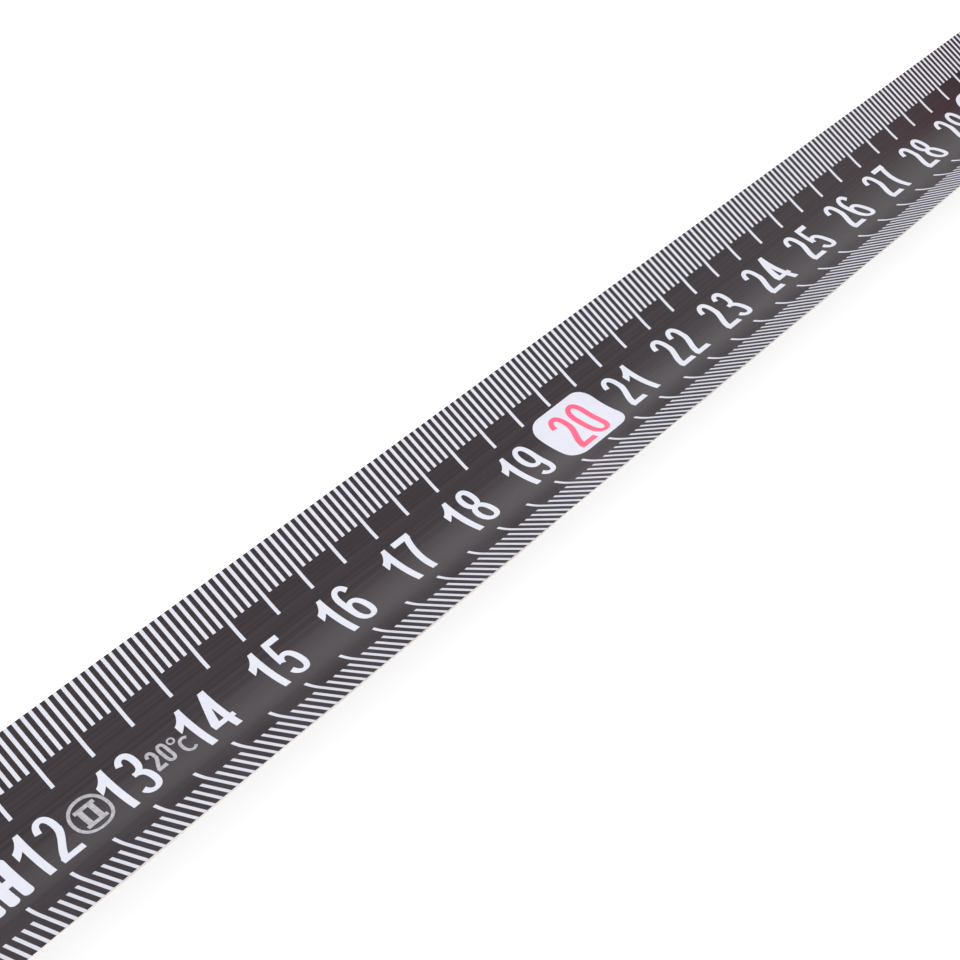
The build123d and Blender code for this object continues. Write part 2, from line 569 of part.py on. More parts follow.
print("turns per metre of blade, rad", round(1000 / (COIL_OUTER + 0.25), 4))
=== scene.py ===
import json
import math

import bmesh
import bpy
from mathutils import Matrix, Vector
from mathutils.geometry import delaunay_2d_cdt


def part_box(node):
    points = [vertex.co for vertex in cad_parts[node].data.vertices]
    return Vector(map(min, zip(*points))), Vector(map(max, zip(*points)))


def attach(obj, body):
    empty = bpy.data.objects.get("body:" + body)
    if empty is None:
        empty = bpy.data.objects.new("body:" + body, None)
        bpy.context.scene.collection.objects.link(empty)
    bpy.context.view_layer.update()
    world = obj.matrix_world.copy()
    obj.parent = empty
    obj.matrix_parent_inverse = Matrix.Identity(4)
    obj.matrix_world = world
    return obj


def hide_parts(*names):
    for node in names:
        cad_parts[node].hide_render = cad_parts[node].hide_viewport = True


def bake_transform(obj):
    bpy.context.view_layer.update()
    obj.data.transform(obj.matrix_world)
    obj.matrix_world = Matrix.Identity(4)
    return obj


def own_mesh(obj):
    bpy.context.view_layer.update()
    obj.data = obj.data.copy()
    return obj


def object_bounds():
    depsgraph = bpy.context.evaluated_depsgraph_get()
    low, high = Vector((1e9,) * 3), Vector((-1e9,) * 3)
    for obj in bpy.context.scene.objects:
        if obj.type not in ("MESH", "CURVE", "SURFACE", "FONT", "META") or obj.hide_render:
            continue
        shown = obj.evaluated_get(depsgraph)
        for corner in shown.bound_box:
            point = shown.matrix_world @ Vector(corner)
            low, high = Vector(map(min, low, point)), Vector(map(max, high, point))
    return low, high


# Looks for the pocket tape measure. Lengths are in millimetres, and MM turns them into Blender's
# metres. The blade's own coordinates are x along it, run across it, and lift above its underside.

MM = 0.001

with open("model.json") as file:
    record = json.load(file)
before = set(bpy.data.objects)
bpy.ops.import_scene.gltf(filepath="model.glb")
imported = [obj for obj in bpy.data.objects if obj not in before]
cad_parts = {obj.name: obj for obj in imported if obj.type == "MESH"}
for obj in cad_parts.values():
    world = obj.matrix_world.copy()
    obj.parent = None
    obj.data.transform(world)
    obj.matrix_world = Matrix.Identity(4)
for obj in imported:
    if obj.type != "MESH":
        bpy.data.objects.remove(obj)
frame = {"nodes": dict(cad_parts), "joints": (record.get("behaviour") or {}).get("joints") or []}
nodes = frame["nodes"]
cad_low, cad_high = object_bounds()


def cad_box(node):
    """The two corners of a CAD node, in millimetres."""
    low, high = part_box(node)
    return low / MM, high / MM


# Blade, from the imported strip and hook
strip_low, strip_high = cad_box("blade_strip")
hook_low, _ = cad_box("end_hook")
HOOK_TAB = 1.0
ZERO_X = hook_low.x + HOOK_TAB
BLADE_Z = strip_low.z
BLADE_END = strip_low.x
REEL_X = strip_high.x
THICKNESS = 0.2
HALF_WIDTH = 12.5
BEND_RADIUS, ARC_RUN = 12.2, 6.7                   # the curved middle, and half its run
CURVED_TO, FLAT_FROM = -20.0, -6.0                 # the section flattens between these two x
CORNER_CUT = 2.5
EDGE_ROUND = 0.03
LATTICE = 0.5                                      # step across the blade, shared with its print

# Scale
FIRST_TICK, LAST_TICK = 3, 350
FIRST_NUMBER = 2
TICK_WIDTHS = {1: 0.43, -1: 0.38}                  # by side of the blade
TICK_ENDS = {1: (5.0, 7.55), -1: (4.3, 7.0)}       # inner ends of long and short ticks, by side
TICK_MARGIN = 0.04                                 # between a tick and the blade's edge
DIGIT_HEIGHT = 6.15
BASELINE = -2.65
UPRIGHT, LEVEL = 0.80, 0.66                        # widths of upright and level strokes
THIN = 0.92                                        # round strokes, as a share of straight ones
RED_SIZE = 1.05                                    # the red numbers are a little larger
DIGIT_PLACES = (-1.45, 1.75)                       # left and right digit, from the number's tick
ALONE_PLACE, ONE_CLOSER = 0.1, 0.3                 # a digit alone, and a 1 that ends a number
BLOCK_WIDTH, BLOCK_HEIGHT, BLOCK_CORNER = 10.3, 8.3, 2.1
BLOCK_SHIFT, BLOCK_RUN = 0.2, 0.5
PRINT = 0.012                                      # how proud one layer of ink stands
PRINT_FOOT = 0.02                                  # how deep the first layer sits in the blade

# Small marks, each at its reading and its run
TAB_PLACE = (114.8, -0.15)
TAB_BAR, TAB_STEP, TAB_CORNER = (1.15, 5.5), 1.6, 0.5
TAB_LINK = (1.8, 0.5)
OVAL_PLACE = (125.7, 0.25)
OVAL_SIZE, OVAL_STROKE = (2.2, 2.35), 0.36
STEM_FROM, STEM_TO, STEM_END = 0.35, 0.95, 1.15    # the roman two's stems, each side of its middle
SERIF_REACH, SERIF_FROM, SERIF_TO = 1.2, 0.9, 1.35
SMALL_SIZE, SMALL_FOOT = 0.45, -0.95
SMALL_STROKES = (0.9, 0.85)
SMALL_DIGITS = (("2", 133.9), ("0", 135.3))
DEGREE_PLACE, DEGREE_SIZE, DEGREE_STROKE = (136.5, 1.2), 0.45, 0.2
CELSIUS_PLACE, CELSIUS_SIZE, CELSIUS_STROKES = (137.45, -0.35), (0.8, 1.15), (0.36, 0.34)
CELSIUS_GAP = 48                                   # where the C opens, in degrees from its right

# Belt clip: bend height, round foot and tip, and the heights that its leg passes
CLIP_BEND_Z = 58.0
CLIP_FOOT_CORNER, CLIP_TIP_CORNER = 5.0, 3.5
CLIP_PULLS = (45.0, 34.0)                          # the leg's straight stretch
CLIP_WAIST, CLIP_WAIST_Z = 0.45, 26.0              # the leg leans in by this much here
CLIP_LIP, CLIP_LIP_PULLS = 2.35, ((-0.7, 23.0), (0.8, 20.5))
CLIP_TIP_RISE = 0.45                               # its middle line ends this far above its lowest point
CLIP_SHRINK = 0.02                                 # keeps the sheet inside its CAD solid
CLIP_ROUND = 0.22

# Thumb lock: the sloping front face, the button's middle on it, and the thumb's hollow
FRONT_X, FRONT_Z = -39.0, 22.0
LOCK_Z = 31.0
SCOOP_RADIUS, SCOOP_ALONG, SCOOP_OUT = 13.0, 2.0, 17.0
RIB_STEP, RIB_COUNT = 2.0, 5
RIB_HALF, RIB_TAPER = 5.2, 0.05                    # half length of the middle rib, and its shortening
RIB_WIDE, RIB_HIGH = 0.45, 0.5

# Camera, from the blade's zero mark and its top surface
CAMERA_PLACE = (78.1, -95.55, 129.6)
CAMERA_TURN = (48.35, 1.56, -48.75)
CAMERA_LENS, CAMERA_SENSOR = 63.25, 36.0

# Stage, in millimetres: lamps as name, place and watts
FLOOR_HALF, FLOOR_GLOW = 8000.0, 0.38
LAMP_SIZE = 1200.0
LAMPS = (("key", (-900.0, -1100.0, 1500.0), 9.0), ("fill", (600.0, 1300.0, 1200.0), 5.0))
TENT_LEVELS = ((0.0, 0.42), (0.12, 0.70), (0.35, 1.25), (0.62, 1.25), (0.80, 0.82), (1.0, 1.1))

WAVE_STEP = 0.314                                  # metres between the rings of a wave of scale 1


# ---------------------------------------------------------------- materials

def new_material(name, roughness, metallic=0.0, **sockets):
    """A Principled material with constants on its own sockets."""
    material = bpy.data.materials.new(name)
    material.use_nodes = True
    inputs = material.node_tree.nodes["Principled BSDF"].inputs
    inputs["Roughness"].default_value = roughness
    inputs["Metallic"].default_value = metallic
    for socket, value in sockets.items():
        inputs[socket.replace("_", " ")].default_value = value
    return material


def noise(material, scale, stretch=(1, 1, 1), detail=3.0):
    """Noise in the piece's own coordinates, scale in features per metre."""
    tree = material.node_tree
    where = tree.nodes.new("ShaderNodeTexCoord")
    mapping = tree.nodes.new("ShaderNodeMapping")
    mapping.inputs["Scale"].default_value = stretch
    texture = tree.nodes.new("ShaderNodeTexNoise")
    texture.inputs["Scale"].default_value = scale
    texture.inputs["Detail"].default_value = detail
    tree.links.new(where.outputs["Object"], mapping.inputs["Vector"])
    tree.links.new(mapping.outputs["Vector"], texture.inputs["Vector"])
    return texture.outputs["Fac"]


def rings(material, centre, step):
    """Rings about an axis along Y through centre, in millimetres, one every step."""
    tree = material.node_tree
    where = tree.nodes.new("ShaderNodeTexCoord")
    mapping = tree.nodes.new("ShaderNodeMapping")
    mapping.inputs["Location"].default_value = -Vector(centre) * MM
    texture = tree.nodes.new("ShaderNodeTexWave")
    texture.wave_type, texture.rings_direction = "RINGS", "Y"
    texture.inputs["Scale"].default_value = WAVE_STEP / (step * MM)
    texture.inputs["Distortion"].default_value = 0.6
    texture.inputs["Detail Scale"].default_value = 40.0
    tree.links.new(where.outputs["Object"], mapping.inputs["Vector"])
    tree.links.new(mapping.outputs["Vector"], texture.inputs["Vector"])
    return texture.outputs["Fac"]


def tint(material, factor, first, second, low=0.35, high=0.65):
    """Colours the base from first to second as the factor goes from low to high."""
    tree = material.node_tree
    ramp = tree.nodes.new("ShaderNodeValToRGB")
    for stop, place, colour in zip(ramp.color_ramp.elements, (low, high), (first, second)):
        stop.position, stop.color = place, (*colour, 1)
    tree.links.new(factor, ramp.inputs["Fac"])
    tree.links.new(ramp.outputs["Color"], tree.nodes["Principled BSDF"].inputs["Base Color"])


def polish(material, factor, low, high):
    """Varies the roughness between low and high."""
    tree = material.node_tree
    spread = tree.nodes.new("ShaderNodeMapRange")
    spread.inputs["From Min"].default_value = 0.3
    spread.inputs["From Max"].default_value = 0.7
    spread.inputs["To Min"].default_value = low
    spread.inputs["To Max"].default_value = high
    tree.links.new(factor, spread.inputs["Value"])
    tree.links.new(spread.outputs["Result"], tree.nodes["Principled BSDF"].inputs["Roughness"])


def grain(material, factor, depth, strength=1.0):
    """Bumps the surface by the factor, depth in millimetres."""
    tree = material.node_tree
    bump = tree.nodes.new("ShaderNodeBump")
    bump.inputs["Distance"].default_value = depth * MM
    bump.inputs["Strength"].default_value = strength
    tree.links.new(factor, bump.inputs["Height"])
    tree.links.new(bump.outputs["Normal"], tree.nodes["Principled BSDF"].inputs["Normal"])


def blade_coating():
    """Black baked coating on spring steel, with the faint lines the rolling leaves along it."""
    made = new_material("blade_coating", 0.34, Specular_IOR_Level=0.36)
    lines = noise(made, 3200, (0.004, 1, 1), detail=1.0)
    tint(made, lines, (0.018, 0.010, 0.0145), (0.028, 0.018, 0.024), 0.36, 0.64)
    polish(made, lines, 0.30, 0.40)
    grain(made, noise(made, 900, (0.05, 1, 1)), 0.004, 0.4)
    return made


def blade_edge():
    """Bare slit edge of the strip, pale steel that really reflects the floor, its light colour partly a
    painted highlight along the edge.
    """
    made = new_material("blade_edge", 0.4, 0.6)
    # painted highlight: the pale colour lightens the edge beyond what its metal reflection gives
    tint(made, noise(made, 700, (0.1, 1, 1)), (0.58, 0.53, 0.50), (0.74, 0.70, 0.67))
    grain(made, noise(made, 2500), 0.006, 0.5)
    return made


def white_ink():
    """Cool white ink, a little uneven in thickness."""
    made = new_material("white_ink", 0.5)
    tint(made, noise(made, 700), (0.645, 0.655, 0.735), (0.675, 0.685, 0.765))
    grain(made, noise(made, 5000), 0.004, 0.4)
    return made


def red_ink():
    """Bright pinkish red ink over the white blocks."""
    made = new_material("red_ink", 0.5)
    tint(made, noise(made, 700), (0.87, 0.095, 0.195), (0.91, 0.11, 0.22))
    grain(made, noise(made, 5000), 0.004, 0.4)
    return made


def grey_ink():
    """Thin white ink that lets the black through, used for the small marks."""
    made = new_material("grey_ink", 0.5)
    tint(made, noise(made, 2500), (0.32, 0.31, 0.34), (0.46, 0.45, 0.49))
    grain(made, noise(made, 5000), 0.004, 0.4)
    return made


def case_plastic():
    """Red ABS with a fine spark-eroded texture and slight shade differences."""
    made = new_material("case_plastic", 0.38, Specular_IOR_Level=0.38)
    tint(made, noise(made, 60), (0.45, 0.006, 0.011), (0.52, 0.010, 0.015))
    polish(made, noise(made, 400), 0.34, 0.46)
    grain(made, noise(made, 2600, detail=4.0), 0.035, 0.35)
    return made


def grip_rubber():
    """Soft black moulded rubber, coarser and duller than the case, dusty in places."""
    made = new_material("grip_rubber", 0.7, Specular_IOR_Level=0.25)
    tint(made, noise(made, 90, detail=5.0), (0.011, 0.011, 0.012), (0.024, 0.024, 0.025))
    polish(made, noise(made, 300), 0.58, 0.78)
    grain(made, noise(made, 1700, detail=4.0), 0.09, 0.6)
    return made


def button_plastic():
    """Black glass-filled nylon of the thumb lock, polished where thumbs rub it."""
    made = new_material("button_plastic", 0.42)
    tint(made, noise(made, 150), (0.014, 0.014, 0.015), (0.024, 0.024, 0.026))
    polish(made, noise(made, 240), 0.32, 0.5)
    grain(made, noise(made, 2400), 0.03, 0.4)
    return made


def inner_plastic():
    """Natural acetal of the reel, arbor and slide, with faint tool marks."""
    made = new_material("inner_plastic", 0.45, Subsurface_Weight=0.05)
    tint(made, noise(made, 120), (0.62, 0.60, 0.55), (0.70, 0.68, 0.63))
    polish(made, noise(made, 500), 0.38, 0.52)
    grain(made, noise(made, 1500), 0.02, 0.3)
    return made


def metal(name, first, second, roughness, stretch, depth=0.006):
    """A brushed or rolled metal: its lines run along the axis that stretch shrinks."""
    made = new_material(name, roughness, 1.0)
    lines = noise(made, 2200, stretch, detail=4.0)
    tint(made, noise(made, 120, detail=5.0), first, second)
    polish(made, lines, roughness - 0.07, roughness + 0.12)
    grain(made, lines, depth, 0.6)
    return made


def badge_metal():
    """Spun aluminium: fine rings about the badge's middle."""
    low, high = cad_box("badge_disc")
    made = new_material("badge_metal", 0.3, 1.0)
    turned = rings(made, (low + high) / 2, 0.5)
    tint(made, noise(made, 200), (0.50, 0.50, 0.51), (0.60, 0.60, 0.61))
    polish(made, turned, 0.24, 0.40)
    grain(made, turned, 0.01, 0.7)
    return made


def wound_blade():
    """The blade's edges, wound up: fine rings of black coating and bare steel."""
    low, high = cad_box("blade_coil")
    made = new_material("wound_blade", 0.4, 0.3)
    layers = rings(made, (low + high) / 2, 0.24)
    tint(made, layers, (0.02, 0.018, 0.019), (0.16, 0.155, 0.15), 0.3, 0.8)
    grain(made, layers, 0.05, 0.8)
    return made


# ---------------------------------------------------------------- pieces

def new_object(name, points, faces, material):
    """A linked mesh object from points in millimetres and faces."""
    mesh = bpy.data.meshes.new(name)
    mesh.from_pydata([Vector(p) * MM for p in points], [], faces)
    mesh.validate()
    mesh.materials.append(material)
    made = bpy.data.objects.new(name, mesh)
    bpy.context.scene.collection.objects.link(made)
    return made


def shade(piece, sharp):
    """Smooth shading, except at edges that turn by more than sharp, in degrees."""
    mesh = piece.data
    mesh.polygons.foreach_set("use_smooth", [True] * len(mesh.polygons))
    mesh.set_sharp_from_angle(angle=math.radians(sharp))


def mesh_piece(name, points, faces, material, body):
    """A piece from points in millimetres and faces, put on its CAD body."""
    piece = new_object(name, points, faces, material)
    shade(piece, 40)
    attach(piece, body)
    return piece


def spaced(start, end, steps):
    """Even steps from start to end, without start itself."""
    return [start + (end - start) * step / steps for step in range(1, steps + 1)]


def heading(path, k):
    """The direction of a path at its point k."""
    before, after = path[max(k - 1, 0)], path[min(k + 1, len(path) - 1)]
    return (Vector(after) - Vector(before)).normalized()


def on_blade(x, run, lift):
    """A point of the blade: curved out of the case, and flattening on its way to the reel."""
    turn = min(abs(run), ARC_RUN) / BEND_RADIUS
    wing = max(abs(run) - ARC_RUN, 0.0)
    side = math.copysign(1, run)
    y = side * ((BEND_RADIUS - lift) * math.sin(turn) + wing * math.cos(turn))
    z = BEND_RADIUS - (BEND_RADIUS - lift) * math.cos(turn) + wing * math.sin(turn)
    flat = min(max((x - CURVED_TO) / (FLAT_FROM - CURVED_TO), 0.0), 1.0)
    return (x, y + (run - y) * flat, BLADE_Z + z + (lift - z) * flat)


def half_width(x):
    """Half the blade's width, with its two corners cut off at the hook."""
    return HALF_WIDTH - max(CORNER_CUT - (x - BLADE_END), 0.0)


def draws_in(piece):
    """Gives the piece a mesh of its own."""
    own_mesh(piece)
    return piece


def lofted(rows):
    """Faces that join equal rows of points, each a closed loop, with both ends closed."""
    width = len(rows[0])
    points = [p for row in rows for p in row]
    faces = []
    for r in range(len(rows) - 1):
        for k in range(width):
            a, b = r * width + k, r * width + (k + 1) % width
            faces.append((a, b, b + width, a + width))
    faces.append(tuple(range(width))[::-1])
    faces.append(tuple(range((len(rows) - 1) * width, len(rows) * width)))
    return points, faces


def blade_section(x):
    """One closed loop round the blade at x, its two long edges rounded."""
    count = round(HALF_WIDTH / LATTICE)
    share = half_width(x) / HALF_WIDTH
    runs = [k * LATTICE * share for k in range(1 - count, count)]
    edge = half_width(x)
    top = [-edge + EDGE_ROUND, *runs, edge - EDGE_ROUND]
    loop = [on_blade(x, run, THICKNESS) for run in top]
    loop.append(on_blade(x, edge, THICKNESS / 2))
    loop += [on_blade(x, run, 0.0) for run in reversed(top)]
    loop.append(on_blade(x, -edge, THICKNESS / 2))
    return loop


def build_blade(material, edge):
    """The strip from the hook to the reel."""
    full = BLADE_END + CORNER_CUT
    stations = [BLADE_END, *spaced(BLADE_END, full, 5), *spaced(full, CURVED_TO, 20)]
    stations += [*spaced(CURVED_TO, FLAT_FROM, 7), REEL_X]
    points, faces = lofted([blade_section(x) for x in stations])
    blade = mesh_piece("blade", points, faces, material, "case")
    blade.data.materials.append(edge)
    around = len(blade_section(REEL_X))
    rims = {around // 2 - 1, around - 1}           # where the loop's two long edges are
    for face in blade.data.polygons:
        places = {k % around for k in face.vertices}
        if places & rims and len(places) == 2:
            face.material_index = 1
    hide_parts("blade_strip")
    return draws_in(blade)


class Ink:
    """One layer of print, gathered as thin closed slabs wrapped on the blade."""

    def __init__(self, layer=1):
        self.points, self.faces = [], []
        self.foot = THICKNESS + (layer - 1) * PRINT - (PRINT_FOOT if layer == 1 else PRINT / 2)
        self.head = THICKNESS + layer * PRINT

    def add(self, flat_points, flat_faces, x=0.0, run=0.0):
        """Adds a flat shape, shifted to x and run, its faces counter-clockwise."""
        base, count = len(self.points), len(flat_points)
        for lift in (self.foot, self.head):
            self.points += [on_blade(x + px, run + py, lift) for px, py in flat_points]
        sides = set()
        for face in flat_faces:
            self.faces.append([base + count + k for k in face])
            self.faces.append([base + k for k in reversed(face)])
            for a, b in zip(face, (*face[1:], face[0])):
                if (b, a) in sides:
                    sides.remove((b, a))
                else:
                    sides.add((a, b))
        self.faces += [(base + a, base + b, base + count + b, base + count + a) for a, b in sides]

    def finish(self, name, material, slot="blade_coating"):
        """Makes the layer one piece, put on the case's body like the blade."""
        return draws_in(mesh_piece(name, self.points, self.faces, material, "case"))


def covers(polygon, point):
    """True if a convex polygon, drawn either way round, holds the point."""
    sides = zip(polygon, (*polygon[1:], polygon[0]))
    turns = [(Vector(b) - Vector(a)).cross(point - Vector(a)) for a, b in sides]
    return min(turns) >= 0 or max(turns) <= 0


def joined(polygons, run=0.0):
    """One flat shape from overlapping convex polygons, cut on the lattice so that it bends with the
    blade. run is where the shape's own zero sits across the blade."""
    points, edges = [], []
    for polygon in polygons:
        first, count = len(points), len(polygon)
        edges += [(first + k, first + (k + 1) % count) for k in range(count)]
        points += [Vector(p) for p in polygon]
    left, right = min(p.x for p in points) - LATTICE, max(p.x for p in points) + LATTICE
    low, high = min(p.y for p in points), max(p.y for p in points)
    for k in range(math.ceil((low + run) / LATTICE), math.floor((high + run) / LATTICE) + 1):
        edges.append((len(points), len(points) + 1))
        points += [Vector((left, k * LATTICE - run)), Vector((right, k * LATTICE - run))]
    found, _, faces, _, _, _ = delaunay_2d_cdt(points, edges, [], 0, 1e-5, False)
    kept = []
    for face in faces:
        middle = sum((found[k] for k in face), Vector((0, 0))) / len(face)
        if any(covers(polygon, middle) for polygon in polygons):
            kept.append(face)
    number = {old: new for new, old in enumerate(sorted({k for face in kept for k in face}))}
    return [tuple(found[k]) for k in number], [[number[k] for k in face] for face in kept]


def oval(cx, cy, rx, ry, start=0.0, end=360.0):
    """Points along a slightly squared oval, from one angle to another, in degrees."""
    squareness, degrees_a_step = 0.9, 11
    steps = max(6, round(abs(end - start) / degrees_a_step))
    path = []
    for step in range(steps + 1):
        angle = math.radians(start + (end - start) * step / steps)
        c, s = math.cos(angle), math.sin(angle)
        path.append((cx + rx * math.copysign(abs(c) ** squareness, c),
                     cy + ry * math.copysign(abs(s) ** squareness, s)))
    return path


def curve(start, pull_start, pull_end, end, steps=9):
    """Points along a Bezier curve."""
    pulls = (start, pull_start, pull_end, end)
    path = []
    for step in range(steps + 1):
        t = step / steps
        weights = ((1 - t) ** 3, 3 * t * (1 - t) ** 2, 3 * t * t * (1 - t), t ** 3)
        path.append(tuple(sum(w * p[axis] for w, p in zip(weights, pulls)) for axis in (0, 1)))
    return path


def ribbon(path, upright, level):
    """Quads along a path: upright wide where it runs up and down, level thick where it runs across."""
    edges = []
    for k, (x, y) in enumerate(path):
        along = heading(path, k)
        out = (-along.y * upright / 2, along.x * level / 2)
        edges.append(((x + out[0], y + out[1]), (x - out[0], y - out[1])))
    return [[a[1], b[1], b[0], a[0]] for a, b in zip(edges, edges[1:])]


def rectangle(x_from, x_to, y_from, y_to):
    """The corners of an upright rectangle."""
    return [(x_from, y_from), (x_to, y_from), (x_to, y_to), (x_from, y_to)]


def ring(cx, cy, rx, ry, wide, thick, start=0.0, end=360.0):
    """Quads of a round stroke whose outside is an oval: wide at its sides, thick above and below."""
    outside = oval(cx, cy, rx, ry, start, end)
    inside = oval(cx, cy, rx - wide, ry - thick, start, end)
    return [[a, b, d, c] for a, b, c, d in zip(outside, outside[1:], inside, inside[1:])]


def digit_parts(digit, upright=UPRIGHT, level=LEVEL):
    """A digit as overlapping polygons, about 2.5 wide, standing on 0 and centred on 0."""
    top, half = DIGIT_HEIGHT, 1.26
    side, cap = THIN * upright, THIN * level

    def bow(cy, rx, ry, start=0.0, end=360.0):
        return ring(0.0, cy, rx, ry, side, cap, start, end)

    def stroke(*points):
        return ribbon(curve(*points), upright, level)

    if digit == "0":
        bend = 1.9
        return [*bow(bend, half, bend, 180, 360), *bow(top - bend, half, bend, 0, 180),
                rectangle(-half, side - half, bend, top - bend),
                rectangle(half - side, half, bend, top - bend)]
    if digit == "1":
        stem, shoulder, tip = 0.20, 0.40, -0.68
        upper = curve((shoulder, top), (0.28, 5.55), (-0.20, 4.98), (tip, 4.79))
        lower = curve((shoulder, 4.62), (0.15, 4.30), (-0.25, 3.90), (tip, 3.66))
        flag = [[a, b, d, c] for a, b, c, d in zip(upper, lower, upper[1:], lower[1:])]
        return [rectangle(stem, stem + upright, 0, 5.0),
                rectangle(shoulder, stem + upright, 4.9, top), *flag]
    if digit == "2":
        return [*bow(4.35, 1.22, 1.8, 168, -12),
                *stroke((0.86, 4.06), (0.76, 2.9), (-0.72, 1.7), (-0.86, 0.3)),
                rectangle(-half, half, 0, level * 1.2)]
    if digit == "3":
        return [*bow(4.60, 1.14, 1.55, 160, -88), *bow(1.77, half, 1.77, 88, -160),
                rectangle(-0.42, 0.05, 3.0, 3.6)]
    if digit == "4":
        return [rectangle(0.26, 0.26 + upright, 0, top), rectangle(-1.36, 1.38, 1.36, 1.36 + level),
                [(-1.36, 1.36), (-0.6, 1.36), (0.42, 4.45), (0.42, top), (0.30, top), (-1.36, 2.16)]]
    if digit == "5":
        return [rectangle(-0.92, 1.10, top - level * 1.08, top),
                [(-1.16, 2.86), (-0.50, 3.02), (-0.28, top), (-0.92, top)], *bow(1.98, half, 1.98, 150, -162)]
    if digit == "6":
        return [[(-x, top - y) for x, y in polygon] for polygon in digit_parts("9", upright, level)]
    if digit == "7":
        return [rectangle(-half, half, top - level * 1.08, top),
                *stroke((0.84, top - 0.5), (0.16, 4.1), (-0.26, 2.2), (-0.32, 0))]
    if digit == "8":
        return [*bow(4.58, 1.14, 1.57), *bow(1.77, half, 1.77)]
    return [*bow(4.2, half, 1.95), rectangle(half - side, half, 1.9, 4.3),
            *bow(1.9, half, 1.9, 0, -152)]


def scaled(polygons, size):
    """Polygons grown about their zero."""
    return [[(px * size, py * size) for px, py in polygon] for polygon in polygons]


def number_shapes(size=1.0):
    """Each digit's flat shape and the run its foot sits at, grown about its middle by size."""
    foot = BASELINE - (size - 1) * DIGIT_HEIGHT / 2
    return {digit: joined(scaled(digit_parts(digit), size), foot) for digit in "0123456789"}, foot


def set_number(ink, shapes, foot, value):
    """Prints a centimetre number at its tick."""
    x = ZERO_X + 10 * value
    figures = str(value)
    places = DIGIT_PLACES if len(figures) == 2 else (ALONE_PLACE,)
    for position, (figure, place) in enumerate(zip(figures, places)):
        closer = ONE_CLOSER if figure == "1" and position else 0.0
        ink.add(*shapes[figure], x + place - closer, foot)


def rounded_block(width, height, corner):
    """The outline of a rectangle with round corners, centred on 0."""
    outline = []
    for quarter, (sx, sy) in enumerate(((1, 1), (-1, 1), (-1, -1), (1, -1))):
        for step in range(7):
            angle = math.radians(90 * quarter + 15 * step)
            outline.append((sx * (width / 2 - corner) + corner * math.cos(angle),
                            sy * (height / 2 - corner) + corner * math.sin(angle)))
    return outline


def print_ticks(material):
    """Millimetre ticks along both edges, every fifth one long."""
    for side, name in ((1, "ticks_upper"), (-1, "ticks_lower")):
        ink = Ink()
        for reading in range(FIRST_TICK, LAST_TICK + 1):
            x = ZERO_X + reading
            inner = TICK_ENDS[side][0 if reading % 5 == 0 else 1]
            outer = half_width(x) - TICK_MARGIN
            first = math.floor(inner / LATTICE) + 1
            runs = [inner, *(k * LATTICE for k in range(first, math.ceil(outer / LATTICE))), outer]
            if side < 0:
                runs = [-run for run in reversed(runs)]
            half = TICK_WIDTHS[side] / 2
            flat = [(dx, run) for run in runs for dx in (-half, half)]
            quads = [(2 * k, 2 * k + 1, 2 * k + 3, 2 * k + 2) for k in range(len(runs) - 1)]
            ink.add(flat, quads, x)
        ink.finish(name, material)


def print_numbers(white, red):
    """White numbers, and red ones on white blocks at every tenth centimetre."""
    plain, large = number_shapes(), number_shapes(RED_SIZE)
    numbers, tens, blocks = Ink(), Ink(layer=2), Ink()
    block = joined([rounded_block(BLOCK_WIDTH, BLOCK_HEIGHT, BLOCK_CORNER)], BLOCK_RUN)
    for value in range(FIRST_NUMBER, LAST_TICK // 10):
        if value % 10:
            set_number(numbers, *plain, value)
        else:
            blocks.add(*block, ZERO_X + 10 * value + BLOCK_SHIFT, BLOCK_RUN)
            set_number(tens, *large, value)
    numbers.finish("numbers", white)
    blocks.finish("ten_blocks", white)
    tens.finish("ten_numbers", red)


def add_mark(ink, polygons, place):
    """Prints a shape with its own zero at a reading and a run."""
    reading, run = place
    ink.add(*joined(polygons, run), ZERO_X + reading, run)


def print_tab(material):
    """Three bars joined into a tab, between 11 and 12 cm."""
    bar = rounded_block(*TAB_BAR, TAB_CORNER)
    bars = [[(px + dx, py) for px, py in bar] for dx in (-TAB_STEP, 0.0, TAB_STEP)]
    reach, half = TAB_LINK
    tab = Ink()
    add_mark(tab, [*bars, rectangle(-reach, reach, -half, half)], TAB_PLACE)
    tab.finish("mark_tab", material)


def roman_two():
    """Two stems between two serifs, centred on 0."""
    stems = [rectangle(-STEM_TO, -STEM_FROM, -STEM_END, STEM_END),
             rectangle(STEM_FROM, STEM_TO, -STEM_END, STEM_END)]
    serifs = [rectangle(-SERIF_REACH, SERIF_REACH, -SERIF_TO, -SERIF_FROM),
              rectangle(-SERIF_REACH, SERIF_REACH, SERIF_FROM, SERIF_TO)]
    return [*stems, *serifs]


def print_oval_and_temperature(material):
    """A roman two in an oval and the reference temperature, between 12 and 14 cm."""
    marks = Ink()
    add_mark(marks, ring(0, 0, *OVAL_SIZE, OVAL_STROKE, OVAL_STROKE), OVAL_PLACE)
    add_mark(marks, roman_two(), OVAL_PLACE)
    for digit, reading in SMALL_DIGITS:
        parts = scaled(digit_parts(digit, *SMALL_STROKES), SMALL_SIZE)
        add_mark(marks, parts, (reading, SMALL_FOOT))
    degree = ring(0, 0, DEGREE_SIZE, DEGREE_SIZE, DEGREE_STROKE, DEGREE_STROKE)
    add_mark(marks, degree, DEGREE_PLACE)
    letter = ring(0, 0, *CELSIUS_SIZE, *CELSIUS_STROKES, CELSIUS_GAP, 360 - CELSIUS_GAP)
    add_mark(marks, letter, CELSIUS_PLACE)
    marks.finish("mark_oval_and_temperature", material)


# ---------------------------------------------------------------- hardware

